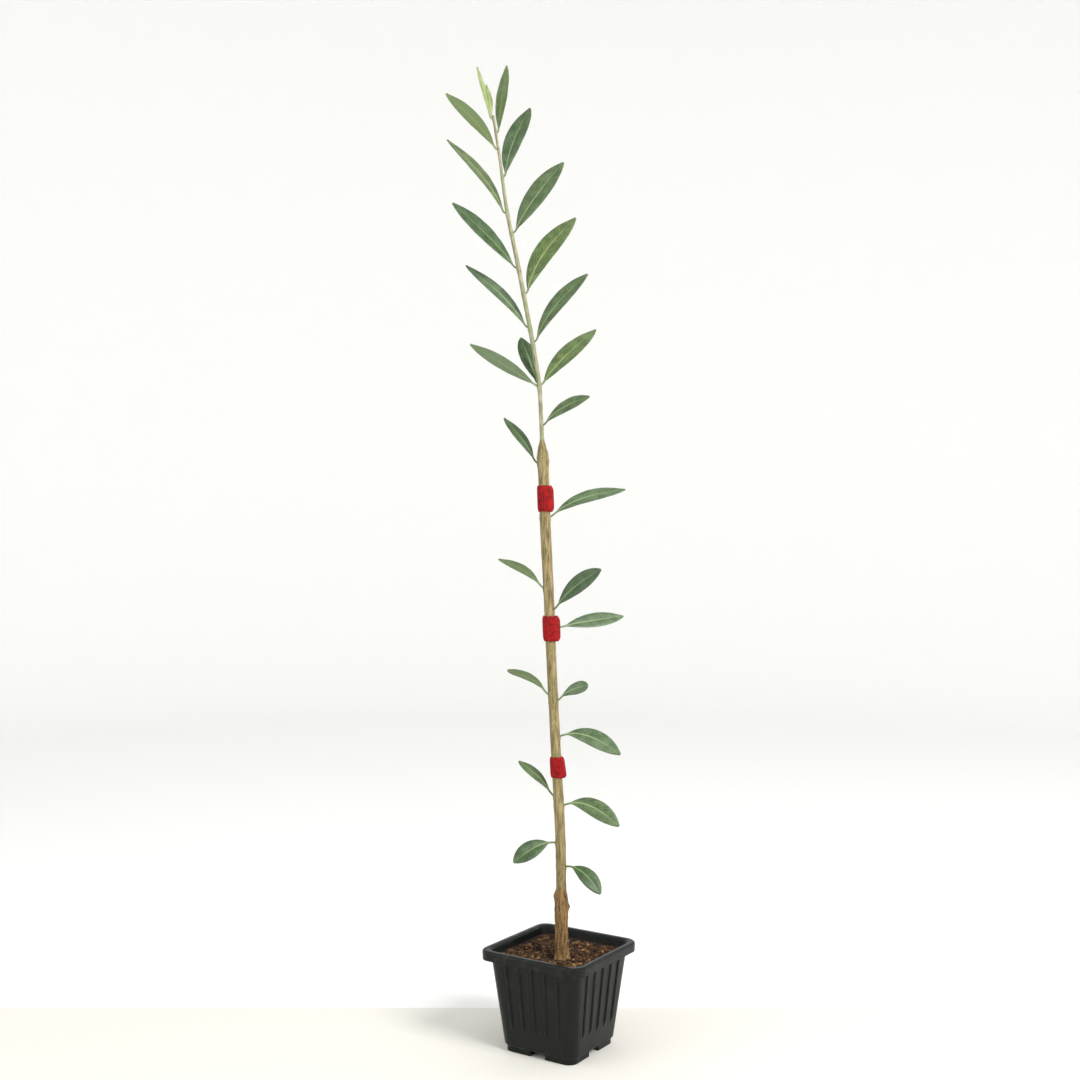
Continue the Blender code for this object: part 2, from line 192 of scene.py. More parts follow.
def loft(rings, closed=False):
    """Points and faces of a skin over rings, capped at both ends or closed on itself."""
    count = len(rings[0])
    points = [point for ring in rings for point in ring]
    faces = []
    for level in range(len(rings) if closed else len(rings) - 1):
        low, high = level * count, (level + 1) % len(rings) * count
        for i in range(count):
            j = (i + 1) % count
            faces.append((low + i, low + j, high + j, high + i))
    if not closed:
        faces.append(tuple(reversed(range(count))))
        faces.append(tuple((len(rings) - 1) * count + i for i in range(count)))
    return points, faces


def ground(x, y):
    """Height of the compost's surface, which rises to the walls and has clods and crumbs."""
    away = max(abs(x), abs(y))
    rise = max(0.0, (away - 20) / 14) ** 2 * 1.2
    clods = noise.noise(Vector((x, y, 3)) / 7) * 0.7
    crumbs = noise.noise(Vector((x, y, 9)) / 2.2) * 0.45
    return COMPOST_GROUND + rise + (clods + crumbs)


def compost_finish(name, dark, light, grain):
    material, tree, shader = new_finish(name, 0.92, 0.25)
    place = add_node(tree, "TexCoord").outputs["Object"]
    clumps = noise_field(tree, place, 260.0, 5.0)
    crumbs = noise_field(tree, place, grain, 4.0, 0.7)
    colour = blend_colours(tree, ramp(tree, clumps, 0.35, 0.68), dark, light)
    tree.links.new(colour, shader.inputs["Base Color"])
    set_relief(tree, shader, crumbs, 0.9, 0.0004)
    return material


compost_rings = [
    rounded_square(COMPOST_FOOT_SIDE, COMPOST_CORNER, COMPOST_FOOT),
    rounded_square(COMPOST_TOP_SIDE - 0.3, COMPOST_CORNER, COMPOST_GROUND - 1.5),
]
compost_edge = rounded_square(COMPOST_TOP_SIDE, COMPOST_CORNER, 0)
for step in range(COMPOST_RINGS):
    share = 1 - step / COMPOST_RINGS
    inset = [(spot.x * share, spot.y * share) for spot in compost_edge]
    compost_rings.append([Vector((x, y, ground(x, y))) for x, y in inset])
compost = make_piece(
    "compost_filling", *loft(compost_rings),
    [compost_finish("peat", paint(20, 14, 10), paint(54, 38, 26), 1500.0)],
)
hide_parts("compost")

# Chips of bark: how many, their range of lengths and widths, their usual thickness, and the
# colours they run between.
ChipKind = namedtuple("ChipKind", "name count length width thick dark light")
CHIP_KINDS = (
    ChipKind("dark_chips", 420, (2.0, 6.0), (1.0, 3.0), 1.0, paint(36, 25, 17), paint(76, 53, 34)),
    ChipKind("brown_chips", 230, (2.5, 7.5), (1.2, 3.2), 0.9, paint(68, 47, 30), paint(112, 80, 50)),
    ChipKind("tan_chips", 90, (2.5, 7.0), (1.0, 2.6), 0.7, paint(112, 82, 50), paint(168, 130, 82)),
)
CHIP_CORNERS = 7
CHIP_REACH = COMPOST_TOP_SIDE / 2 - 3.6
STEM_FOOT = Vector((5.7, -5.8))
STEM_ROOM = 7.5                # no chip lies nearer to the middle of the stem's foot
chance = random.Random(11)


def chip_shape(kind, middle):
    """The corners of one splinter: its under side, then its slightly smaller upper side."""
    half_length = chance.uniform(*kind.length) / 2
    half_width = min(half_length, chance.uniform(*kind.width) / 2)
    thick = kind.thick * chance.uniform(0.5, 1.2)
    pitch = math.radians(chance.gauss(0, 14))
    lie = Matrix.Rotation(chance.uniform(0, math.tau), 3, "Z") @ Matrix.Rotation(pitch, 3, "Y")
    lie @= Matrix.Rotation(math.radians(chance.gauss(0, 16)), 3, "X")
    centre = Vector((*middle, ground(*middle) + thick * 0.3 + abs(math.sin(pitch)) * 0.6))
    outline = []
    for corner in range(CHIP_CORNERS):
        angle = math.tau * corner / CHIP_CORNERS
        rough = chance.uniform(0.72, 1.1)
        along, across = half_length * math.cos(angle), half_width * math.sin(angle)
        outline.append(Vector((along * rough, across * rough)))
    corners = []
    for side, drawn_in in ((-1, 1.0), (1, 0.94)):
        for spot in outline:
            bow = -0.10 * thick * (spot.x / half_length) ** 2
            corner = Vector((spot.x * drawn_in, spot.y, side * thick / 2 + bow))
            corners.append(centre + lie @ corner)
    return corners


for kind in CHIP_KINDS:
    points, faces = [], []
    made = 0
    while made < kind.count:
        middle = Vector([chance.uniform(-CHIP_REACH, CHIP_REACH) for _ in range(2)])
        if (middle - STEM_FOOT).length < STEM_ROOM:
            continue
        low = len(points)
        high = low + CHIP_CORNERS
        points.extend(chip_shape(kind, middle))
        faces.append(tuple(reversed(range(low, high))))
        faces.append(tuple(range(high, high + CHIP_CORNERS)))
        for corner in range(CHIP_CORNERS):
            after = (corner + 1) % CHIP_CORNERS
            faces.append((low + corner, low + after, high + after, high + corner))
        made += 1
    chips = make_piece(
        kind.name, points, faces,
        [compost_finish(kind.name + "_bark", kind.dark, kind.light, 900.0)],
    )
    chips.data.shade_flat()


# The stem: a rooted olive cutting with another sort grafted on low down. Its bark is straw
# coloured and finely ridged, browner and rougher under the union, and it narrows at a neck.

FAN_TURN = 33.4                # the leaves' fan is turned this far on the pot
NECK = 411.3
LEADER_TIP = 632.0
STEM_FOOT_HEIGHT = 61.9
STEM_SUNK = 0.6                # the bark reaches this far into the compost's surface

# Middle line of stem and leader: height, across the fan, behind the fan
STEM_LINE = (
    (61.9, 1.6, -8.0),
    (125.0, 1.0, -7.6),
    (162.0, -0.4, -7.2),
    (240.0, -4.4, -6.4),
    (330.0, -8.4, -5.6),
    (411.0, -11.8, -5.0),
    (448.0, -13.7, -4.8),
    (475.0, -17.8, -4.6),
    (534.0, -28.9, -3.8),
    (567.0, -35.6, -3.4),
    (606.0, -41.0, -2.8),
    (644.0, -47.0, -2.0),
)

# Radius of stem and leader: height, radius
STEM_GIRTH = (
    (61.9, 5.8),
    (65.5, 4.9),
    (81.0, 4.2),
    (98.0, 4.5),
    (111.0, 3.4),
    (128.0, 3.5),
    (236.0, 3.3),
    (330.0, 3.6),
    (388.0, 3.7),
    (398.0, 4.0),
    (403.0, 3.5),
    (408.0, 2.3),
    (411.3, 1.6),
    (416.0, 1.4),
    (534.0, 1.5),
    (590.0, 1.05),
    (632.0, 0.8),
)

# Stubs of cut shoots at the union
Stub = namedtuple("Stub", "height turn proud spread")
STUBS = (
    Stub(104.5, 185, 1.2, 2.6),
    Stub(96.5, -10, 1.3, 2.4),
    Stub(91.0, 240, 0.7, 3.0),
    Stub(101.0, 300, 0.6, 3.2),
)

# turn is the side of the stem, lift and droop are the slopes at foot and tip, roll turns the
# upper face round the leaf's own length, and tone picks the colours of its two faces.
Leaf = namedtuple("Leaf", "name height turn length lift droop width roll blunt tone")
LEAVES = (
    Leaf("young_leaf_1", 629.5, 198, 36.0, 80, 72, 6.5, -50, 0.0, "tip"),
    Leaf("young_leaf_2", 630.5, 120, 27.0, 82, 68, 5.5, 10, 0.0, "tip"),
    Leaf("leaf_01", 620.5, 45, 49.0, 84, 79, 13.0, -6, 0.0, "fresh"),
    Leaf("leaf_02", 608.5, 208, 50.0, 57, 33, 12.5, 14, 0.0, "fresh"),
    Leaf("leaf_03", 590.5, 35, 55.5, 86, 59, 15.5, 26, 0.1, "blue"),
    Leaf("leaf_04", 565.5, 165, 68.0, 70, 44, 14.0, -24, 0.0, "olive"),
    Leaf("leaf_05", 552.0, -15, 57.5, 67, 46, 16.5, 72, 0.0, "middle"),
    Leaf("leaf_06", 528.0, 195, 60.5, 53, 39, 15.0, -58, 0.0, "dark"),
    Leaf("leaf_07", 511.0, 28, 69.0, 80, 44, 16.5, 40, 0.0, "olive"),
    Leaf("leaf_08", 488.0, 162, 63.5, 61, 38, 13.5, -28, 0.0, "blue"),
    Leaf("leaf_09", 478.0, -22, 58.5, 74, 37, 14.5, 63, 0.0, "middle"),
    Leaf("leaf_10", 450.5, 130, 37.0, 69, 60, 12.5, -20, 0.3, "dark"),
    Leaf("leaf_11", 448.0, 205, 55.0, 30, 26, 12.0, 27, 0.0, "blue"),
    Leaf("leaf_12", 449.0, 32, 61.0, 55, 37, 15.0, 30, 0.0, "olive"),
    Leaf("leaf_13", 421.5, -30, 40.0, 53, 14, 10.5, 64, 0.0, "middle"),
    Leaf("leaf_14", 396.0, 150, 41.5, 68, 44, 10.5, -19, 0.0, "dark"),
    Leaf("leaf_15", 359.5, 18, 58.5, 43, 8, 11.5, 41, 0.0, "blue"),
    Leaf("leaf_16", 311.5, 208, 39.5, 59, 18, 9.0, 28, 0.0, "middle"),
    Leaf("leaf_17", 297.0, -32, 46.0, 58, 28, 13.0, 76, 0.2, "dark"),
    Leaf("leaf_18", 284.5, 25, 50.0, 12, 5, 11.5, 52, 0.0, "blue"),
    Leaf("leaf_19", 239.5, 208, 36.5, 64, 16, 9.0, 31, 0.8, "middle"),
    Leaf("leaf_20", 235.5, -35, 27.5, 57, 12, 9.0, 70, 1.0, "blue"),
    Leaf("leaf_21", 211.5, -22, 46.0, 25, -32, 12.5, 54, 0.0, "blue"),
    Leaf("leaf_22", 171.0, 155, 34.0, 64, 30, 8.5, -27, 0.3, "middle"),
    Leaf("leaf_23", 165.0, -20, 43.0, 27, -38, 12.5, 57, 0.0, "middle"),
    Leaf("leaf_24", 140.0, 205, 33.5, 10, -33, 12.5, -49, 0.1, "dark"),
    Leaf("leaf_25", 124.0, -32, 32.5, 13, -50, 11.5, 39, 0.1, "dark"),
)


def read_curve(knots, height):
    """Values at a height on a smooth curve through (height, value, ...) knots."""
    heights = [knot[0] for knot in knots]
    height = min(max(height, heights[0]), heights[-1])
    i = max(k for k in range(len(knots) - 1) if heights[k] <= height)
    span = heights[i + 1] - heights[i]
    t = (height - heights[i]) / span

    def slope(k, column):
        before, after = max(k - 1, 0), min(k + 1, len(knots) - 1)
        return (knots[after][column] - knots[before][column]) / (heights[after] - heights[before])

    values = []
    for column in range(1, len(knots[0])):
        start, end = knots[i][column], knots[i + 1][column]
        leave, arrive = slope(i, column) * span, slope(i + 1, column) * span
        values.append(
            start * (2 * t**3 - 3 * t**2 + 1)
            + leave * (t**3 - 2 * t**2 + t)
            + end * (3 * t**2 - 2 * t**3)
            + arrive * (t**3 - t**2)
        )
    return values


def stem_centre(height):
    across, behind = read_curve(STEM_LINE, height)
    return Vector((across, behind, height))


def smooth_radius(height, angle):
    """Radius of stem or leader without its bark's relief."""
    radius = read_curve(STEM_GIRTH, height)[0]
    if height > NECK:
        return radius
    radius *= 1 + 0.03 * math.sin(3 * angle + height / 21) + 0.02 * math.sin(5 * angle - height / 13)
    for stub in STUBS:
        round_by = math.remainder(angle - math.radians(stub.turn), math.tau) * radius
        off = math.hypot(round_by, height - stub.height) / stub.spread
        radius += stub.proud * math.exp(-off * off)
    return radius


# Knobs where the stem was cut back: height, side, how proud they are
NECK_KNOBS = (
    (397.0, 20, 0.5),
    (399.5, 150, 0.6),
    (402.0, 265, 0.5),
    (405.5, 60, 0.45),
    (407.0, 190, 0.4),
)


def node_swelling(height, angle, radius):
    """The neck's knobs, the cushion under each leaf's foot and the scar of the leaf facing it."""
    proud = 0.0
    for knob_height, turn, size in NECK_KNOBS:
        if abs(knob_height - height) < 6:
            round_by = math.remainder(angle - math.radians(turn), math.tau) * radius
            off = math.hypot(round_by / 1.3, (height - knob_height) / 1.6)
            proud += size * math.exp(-off * off)
    for leaf in LEAVES:
        if abs(leaf.height - height) > 9:
            continue
        for turn, size in ((leaf.turn, 0.55), (leaf.turn + 180, 0.32)):
            round_by = math.remainder(angle - math.radians(turn), math.tau) * radius
            off = math.hypot(round_by / 1.5, (height - leaf.height + 1.2) / 2.0)
            proud += size * math.exp(-off * off)
    return proud


def bark_relief(height, angle):
    """Fine lengthwise ridges, deeper and cracked across below the union."""
    way = Vector((math.cos(angle), math.sin(angle), 0))
    old = 1 / (1 + math.exp((height - 107) / 5))
    ridges = noise.noise(way * 5.0 + Vector((0, 0, height * 0.07)))
    fine = noise.noise(way * 13.0 + Vector((4, 0, height * 0.22)))
    plates = noise.noise(way * 3.2 + Vector((0, 7, height * 0.33)))
    return ridges * (0.12 + 0.25 * old) + fine * (0.07 + 0.13 * old) + plates * (0.04 + 0.35 * old)


def bark_marks_group():
    """Lengthwise streaks, specks and a height for any bark, from the place on the plant."""
    group = bpy.data.node_groups.new("bark_marks", "ShaderNodeTree")
    group.interface.new_socket("Stretch", in_out="INPUT", socket_type="NodeSocketFloat")
    for name in ("Streaks", "Specks", "Height"):
        group.interface.new_socket(name, in_out="OUTPUT", socket_type="NodeSocketFloat")
    entry = group.nodes.new("NodeGroupInput")
    leave = group.nodes.new("NodeGroupOutput")
    place = add_node(group, "TexCoord").outputs["Object"]
    split = add_node(group, "SeparateXYZ", Vector=place)
    tall = times(group, split.outputs["Z"], entry.outputs["Stretch"])
    flat = {"X": split.outputs["X"], "Y": split.outputs["Y"]}
    drawn = add_node(group, "CombineXYZ", Z=tall, **flat).outputs["Vector"]
    streaks = noise_field(group, drawn, 900.0, 5.0, 0.6)
    specks = noise_field(group, place, 1300.0, 2.0)
    group.links.new(streaks, leave.inputs["Streaks"])
    group.links.new(ramp(group, specks, 0.60, 0.70), leave.inputs["Specks"])
    height = work_out(group, "ADD", streaks, times(group, specks, 0.5))
    group.links.new(height, leave.inputs["Height"])
    return group


bark_marks = bark_marks_group()


def add_marks(tree, group, **values):
    node = tree.nodes.new("ShaderNodeGroup")
    node.node_tree = group
    for name, value in values.items():
        node.inputs[name].default_value = value
    return node.outputs


def stem_bark():
    """Straw-coloured bark with greenish patches, which turns brown under the union."""
    material, tree, shader = new_finish("stem_bark", 0.72, 0.3)
    place = add_node(tree, "TexCoord").outputs["Object"]
    marks = add_marks(tree, bark_marks, Stretch=0.10)
    patches = noise_field(tree, place, 45.0, 4.0)
    height = add_node(tree, "SeparateXYZ", Vector=place).outputs["Z"]
    wander = times(tree, work_out(tree, "SUBTRACT", patches, 0.5), 0.02)
    old = ramp(tree, work_out(tree, "ADD", height, wander), 0.116, 0.100)
    pale_streaks = ramp(tree, marks["Streaks"], 0.32, 0.66)
    straw = blend_colours(tree, pale_streaks, paint(90, 77, 50), paint(160, 143, 102))
    green = blend_colours(tree, ramp(tree, patches, 0.42, 0.62, 0.0, 0.45), straw, paint(120, 114, 68))
    old_streaks = ramp(tree, marks["Streaks"], 0.35, 0.62)
    brown = blend_colours(tree, old_streaks, paint(62, 43, 25), paint(140, 108, 64))
    body = blend_colours(tree, old, green, brown)
    colour = blend_colours(tree, times(tree, marks["Specks"], 0.5), body, paint(204, 190, 150))
    tree.links.new(colour, shader.inputs["Base Color"])
    set_relief(tree, shader, marks["Height"], 0.55, 0.0003)
    return material


def stem_rings(start, end, spacing, sides):
    """Rings up the stem or the leader, with the relief of the bark."""
    count = round((end - start) / spacing)
    rings = []
    for level in range(count + 1):
        height = start + (end - start) * level / count
        centre = stem_centre(height)
        ring = []
        for i in range(sides):
            angle = math.tau * i / sides
            radius = smooth_radius(height, angle)
            slim = min(1.0, radius / 3.0)
            swelling = node_swelling(height, angle, radius) * slim
            radius += swelling + bark_relief(height, angle) * slim * slim
            ring.append(centre + Vector((math.cos(angle), math.sin(angle), 0)) * radius)
        rings.append(ring)
    return rings


bark_rings = stem_rings(STEM_FOOT_HEIGHT - STEM_SUNK, NECK, spacing=0.9, sides=84)
stem = make_piece("stem", *loft(bark_rings), [stem_bark()], turn=FAN_TURN)
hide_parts("trunk")


# The leader: this year's shoot, which grows on from the stem's neck. Its bark is smooth and
# greenish grey, with fine dark specks.

def leader_bark():
    material, tree, shader = new_finish("leader_bark", 0.58, 0.35)
    place = add_node(tree, "TexCoord").outputs["Object"]
    marks = add_marks(tree, bark_marks, Stretch=0.18)
    patches = noise_field(tree, place, 80.0, 3.0)
    streaks = ramp(tree, marks["Streaks"], 0.35, 0.65)
    pale = blend_colours(tree, streaks, paint(118, 112, 84), paint(178, 172, 146))
    body = blend_colours(tree, ramp(tree, patches, 0.4, 0.65), pale, paint(132, 138, 100))
    colour = blend_colours(tree, times(tree, marks["Specks"], 0.35), body, paint(84, 74, 48))
    tree.links.new(colour, shader.inputs["Base Color"])
    set_relief(tree, shader, marks["Height"], 0.3, 0.00012)
    return material


shoot_rings = stem_rings(NECK, LEADER_TIP, spacing=0.7, sides=36)
leader = make_piece("leader_shoot", *loft(shoot_rings), [leader_bark()], turn=FAN_TURN)
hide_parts("leader")


# The tapes: red woven plastic tape, wound round the stem two or three times and pressed on
# itself. Each band is thickest where its end overlaps.

# foot and top are heights, thin and thick the least and greatest thickness, turn the side of
# the overlap, and flare what the foot is thicker by.
Tape = namedtuple("Tape", "name foot top thin thick turn flare")
TAPES = (
    Tape("tape_top", 363.0, 380.5, 0.9, 2.3, 0, 0.0),
    Tape("tape_middle", 275.5, 292.5, 1.3, 3.0, 0, 0.0),
    Tape("tape_low", 183.5, 197.5, 0.8, 1.4, 0, 1.2),
)
TAPE_RIBS = 22
TAPE_SIDES = 240
TAPE_STEPS = 16
TAIL_TURN = 300                # degrees from the thickest side on to the tape's free end
TAIL_SPAN = 60
TAIL_THICK = 0.28
THREAD_PITCH = 0.0009          # metres from one cross thread to the next


def tape_thickness(tape, share, angle):
    """Thickness of the wound band, with its ribs and the step of its free end."""
    overlap = max(0.0, math.cos(angle - math.radians(tape.turn))) ** 1.5
    edge = 1 - 0.25 * (2 * share - 1) ** 4
    body = (tape.thin + (tape.thick - tape.thin) * overlap) * edge + tape.flare * overlap * (1 - share)
    crease = 0.10 * noise.noise(Vector((math.cos(angle), share, tape.foot)))
    rib = 0.24 * math.sin(angle * TAPE_RIBS) + crease
    past_end = math.degrees(math.remainder(angle - math.radians(tape.turn + TAIL_TURN), math.tau))
    step = TAIL_THICK / (1 + math.exp(-past_end / 1.5)) if past_end < TAIL_SPAN else 0.0
    return body + rib + step


def tape_weave():
    """Red tape with fine threads across it and a little wear."""
    material, tree, shader = new_finish("tape_weave", 0.55, 0.2)
    place = add_node(tree, "TexCoord").outputs["Object"]
    split = add_node(tree, "SeparateXYZ", Vector=place)
    thread = work_out(tree, "SINE", times(tree, split.outputs["Z"], math.tau / THREAD_PITCH))
    cross = ramp(tree, thread, -0.7, 0.7)
    wear = noise_field(tree, place, 420.0, 4.0)
    red = blend_colours(tree, ramp(tree, wear, 0.35, 0.65), paint(104, 3, 8), paint(160, 10, 16))
    colour = blend_colours(tree, times(tree, cross, 0.22), red, paint(190, 36, 38))
    tree.links.new(colour, shader.inputs["Base Color"])
    set_relief(tree, shader, cross, 0.5, 0.00018)
    return material


tape_red = tape_weave()
for tape in TAPES:
    outer, inner = [], []
    for step in range(TAPE_STEPS + 1):
        share = step / TAPE_STEPS
        outer_ring, inner_ring = [], []
        for i in range(TAPE_SIDES):
            angle = math.tau * i / TAPE_SIDES
            way = Vector((math.cos(angle), math.sin(angle), 0))
            uneven = Vector((way.x * 3, way.y * 3, tape.top + round(share)))
            fray = 0.45 * noise.noise(uneven) * (2 * share - 1) ** 4
            height = tape.foot + (tape.top - tape.foot) * share + fray
            bore = smooth_radius(height, angle) + 0.15
            round_edge = 1 - 0.35 * max(0.0, abs(2 * share - 1) - 0.8) / 0.2
            reach = bore + tape_thickness(tape, share, angle) * round_edge
            outer_ring.append(stem_centre(height) + way * reach)
            inner_ring.append(stem_centre(height) + way * bore)
        outer.append(outer_ring)
        inner.append(inner_ring)
    skin = loft(outer + inner[::-1], closed=True)
    band = make_piece(tape.name + "_band", *skin, [tape_red], turn=FAN_TURN)
    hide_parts(tape.name)


# The leaves: leathery lance shapes on short stalks, green and waxy above with a pale midrib,
# and grey with fine scales beneath. The edges curl a little under.

LEAF_THICK = 0.5
LEAF_FOLD = 0.12               # rise of the blade for each millimetre off its midrib
STALK_ON_LEADER = 3.0          # length of the stalk
STALK_ON_STEM = 5.0
STALK_RADIUS = 0.62
STALK_SPRING = 35              # steepest slope in degrees where the stalk leaves the stem
WALK_STEPS = 48                # steps in which the slope of the middle line is followed
LEAF_RINGS = 44
TOP_COLUMNS = 13               # points across the upper side
MAP_SHIFT = 20.0               # keeps the map's millimetres off the midrib above nought

# Colours of the upper side where it is pale and deep, of its midrib, and of the under side
Tone = namedtuple("Tone", "upper deep rib under")
TONES = {
    "tip": Tone(paint(150, 164, 108), paint(116, 136, 76), paint(176, 184, 138), paint(148, 160, 114)),
    "fresh": Tone(paint(108, 130, 74), paint(76, 102, 50), paint(154, 168, 112), paint(118, 138, 92)),
    "olive": Tone(paint(98, 118, 68), paint(68, 88, 44), paint(150, 164, 110), paint(112, 132, 86)),
    "middle": Tone(paint(86, 108, 66), paint(56, 80, 42), paint(142, 158, 110), paint(106, 126, 86)),
    "blue": Tone(paint(90, 112, 78), paint(60, 84, 52), paint(144, 160, 118), paint(110, 130, 96)),
    "dark": Tone(paint(60, 88, 48), paint(36, 62, 30), paint(122, 142, 90), paint(92, 114, 74)),
}


def leaf_marks_group():
    """Midrib, side veins, mottling and a height, from the place on the blade.

    The blade's map holds the share of its length, and the millimetres from its midrib.
    """
    group = bpy.data.node_groups.new("leaf_marks", "ShaderNodeTree")
    for name in ("Midrib", "Veins", "Mottle", "Scales", "Height"):
        group.interface.new_socket(name, in_out="OUTPUT", socket_type="NodeSocketFloat")
    leave = group.nodes.new("NodeGroupOutput")
    spot = add_node(group, "UVMap", {"uv_map": "blade"}).outputs["UV"]
    split = add_node(group, "SeparateXYZ", Vector=spot)
    share = split.outputs["X"]
    off = work_out(group, "ABSOLUTE", work_out(group, "SUBTRACT", split.outputs["Y"], MAP_SHIFT))
    midrib = times(group, ramp(group, off, 0.75, 0.15), ramp(group, share, 1.0, 0.35, 0.25, 1.0))
    place = add_node(group, "TexCoord").outputs["Object"]
    wander = noise_field(group, place, 130.0, 2.0)
    run = work_out(group, "SUBTRACT", times(group, share, 15.0), times(group, off, 0.42))
    run = work_out(group, "ADD", run, times(group, wander, 1.1))
    veins = ramp(group, work_out(group, "SINE", times(group, run, math.tau)), 0.82, 1.0)
    veins = times(group, veins, ramp(group, off, 0.5, 1.6))
    mottle = ramp(group, noise_field(group, place, 170.0, 5.0), 0.34, 0.68)
    scales = ramp(group, noise_field(group, place, 3200.0, 2.0), 0.52, 0.68)
    height = work_out(group, "SUBTRACT", times(group, scales, 0.3), times(group, veins, 0.5))
    found = {"Midrib": midrib, "Veins": veins, "Mottle": mottle, "Scales": scales, "Height": height}
    for name, value in found.items():
        group.links.new(value, leave.inputs[name])
    return group


leaf_marks = leaf_marks_group()


def leaf_upper(name, tone):
    """The waxy upper side, mottled, with a pale midrib and faint side veins."""
    material, tree, shader = new_finish(name + "_upper", 0.40, 0.45)
    marks = add_marks(tree, leaf_marks)
    blade = blend_colours(tree, marks["Mottle"], tone.deep, tone.upper)
    veined = blend_colours(tree, times(tree, marks["Veins"], 0.28), blade, tone.rib)
    scaled = blend_colours(tree, times(tree, marks["Scales"], 0.10), veined, paint(210, 220, 196))
    ribbed = blend_colours(tree, times(tree, marks["Midrib"], 0.85), scaled, tone.rib)
    tree.links.new(ribbed, shader.inputs["Base Color"])
    tree.links.new(ramp(tree, marks["Mottle"], 0.0, 1.0, 0.34, 0.46), shader.inputs["Roughness"])
    set_relief(tree, shader, marks["Height"], 0.35, 0.00015)
    return material


def leaf_under(name, tone):
    """The dull under side, greyed by its fine scales."""
    material, tree, shader = new_finish(name + "_under", 0.68, 0.25)
    marks = add_marks(tree, leaf_marks)
    blade = blend_colours(tree, times(tree, marks["Mottle"], 0.35), tone.under, tone.upper)
    scaled = blend_colours(tree, times(tree, marks["Scales"], 0.30), blade, paint(204, 212, 188))
    ribbed = blend_colours(tree, times(tree, marks["Midrib"], 0.7), scaled, tone.rib)
    tree.links.new(ribbed, shader.inputs["Base Color"])
    set_relief(tree, shader, marks["Height"], 0.25, 0.0001)
    return material


leaf_faces = {}
for name, tone in TONES.items():
    leaf_faces[name] = (leaf_upper(name, tone), leaf_under(name, tone))


def tape_at(height):
    """The tape that covers the stem at a height, if one does."""
    return next((tape for tape in TAPES if tape.foot < height < tape.top), None)


def leaf_foot(leaf):
    """Where the stalk starts: on the stem, or on a tape that covers it there."""
    angle = math.radians(leaf.turn)
    reach = smooth_radius(leaf.height, angle) + 0.3
    tape = tape_at(leaf.height)
    if tape:
        share = (leaf.height - tape.foot) / (tape.top - tape.foot)
        reach += 0.3 + tape_thickness(tape, share, angle)
    return stem_centre(leaf.height) + Vector((math.cos(angle), math.sin(angle), 0)) * reach


def stalk_share(leaf):
    """Share of the leaf's length that is stalk."""
    return (STALK_ON_LEADER if leaf.height > NECK else STALK_ON_STEM) / leaf.length


def leaf_slope(leaf, share):
    """Slope of the leaf, which springs off the stem and arches over towards its tip."""
    slope = leaf.droop + (leaf.lift - leaf.droop) * (1 - share) ** 2
    spring = max(0.0, 1 - share / stalk_share(leaf))
    return math.radians(slope - max(0.0, slope - STALK_SPRING) * spring)


def leaf_point(leaf, share):
    """The point a share of the way along the leaf's middle line."""
    outward = Vector((math.cos(math.radians(leaf.turn)), math.sin(math.radians(leaf.turn)), 0))
    point = leaf_foot(leaf)
    step = share * leaf.length / WALK_STEPS
    for i in range(WALK_STEPS):
        slope = leaf_slope(leaf, share * (i + 0.5) / WALK_STEPS)
        point += (outward * math.cos(slope) + Vector((0, 0, math.sin(slope)))) * step
    return point


def blade_half_width(leaf, share):
    """Half the blade's width: a lance shape that is widest just past its middle."""
    base_power = 0.90
    tip_power = 0.80 - 0.30 * leaf.blunt
    widest = base_power / (base_power + tip_power)
    full = widest**base_power * (1 - widest) ** tip_power
    return leaf.width / 2 * share**base_power * (1 - share) ** tip_power / full


def leaf_section(leaf, share):
    """Points round the leaf at one place along it, with each one's millimetres off the midrib."""
    turn = math.radians(leaf.turn)
    outward = Vector((math.cos(turn), math.sin(turn), 0))
    level_side = Vector((math.sin(turn), -math.cos(turn), 0))
    stalk = stalk_share(leaf)
    slope = leaf_slope(leaf, share)
    level_face = Vector((0, 0, math.cos(slope))) - outward * math.sin(slope)
    roll = math.radians(leaf.roll) * min(1.0, share / stalk)
    face_up = level_face * math.cos(roll) + level_side * math.sin(roll)
    sideways = level_side * math.cos(roll) - level_face * math.sin(roll)
    blade_share = max(0.0, (share - stalk) / (1 - stalk))
    width = blade_half_width(leaf, blade_share)
    grown = min(1.0, width / (leaf.width * 0.3))
    half_width = math.hypot(STALK_RADIUS * (1 - grown) + 0.12, width)
    thick = STALK_RADIUS * 2 * (1 - grown) + LEAF_THICK * grown
    middle = leaf_point(leaf, share)
    points = []
    for top in (True, False):
        columns = range(TOP_COLUMNS) if top else range(TOP_COLUMNS - 2, 0, -1)
        for column in columns:
            across = -math.cos(math.pi * column / (TOP_COLUMNS - 1))
            off = across * half_width
            along_edge = Vector((share * 9, math.copysign(5, across), leaf.height))
            wave = 0.22 * grown * across**2 * noise.noise(along_edge)
            cup = LEAF_FOLD * abs(off) * grown - 0.35 * grown * abs(across) ** 5
            side = math.sqrt(max(0.0, 1 - across * across))
            height = cup + wave
            if top:
                height += thick / 2 * side - 0.16 * grown * math.exp(-(off / 0.45) ** 2)
            else:
                height -= thick / 2 * side + 0.30 * grown * math.exp(-(off / 0.5) ** 2)
            points.append((middle + sideways * off + face_up * height, off))
    return points


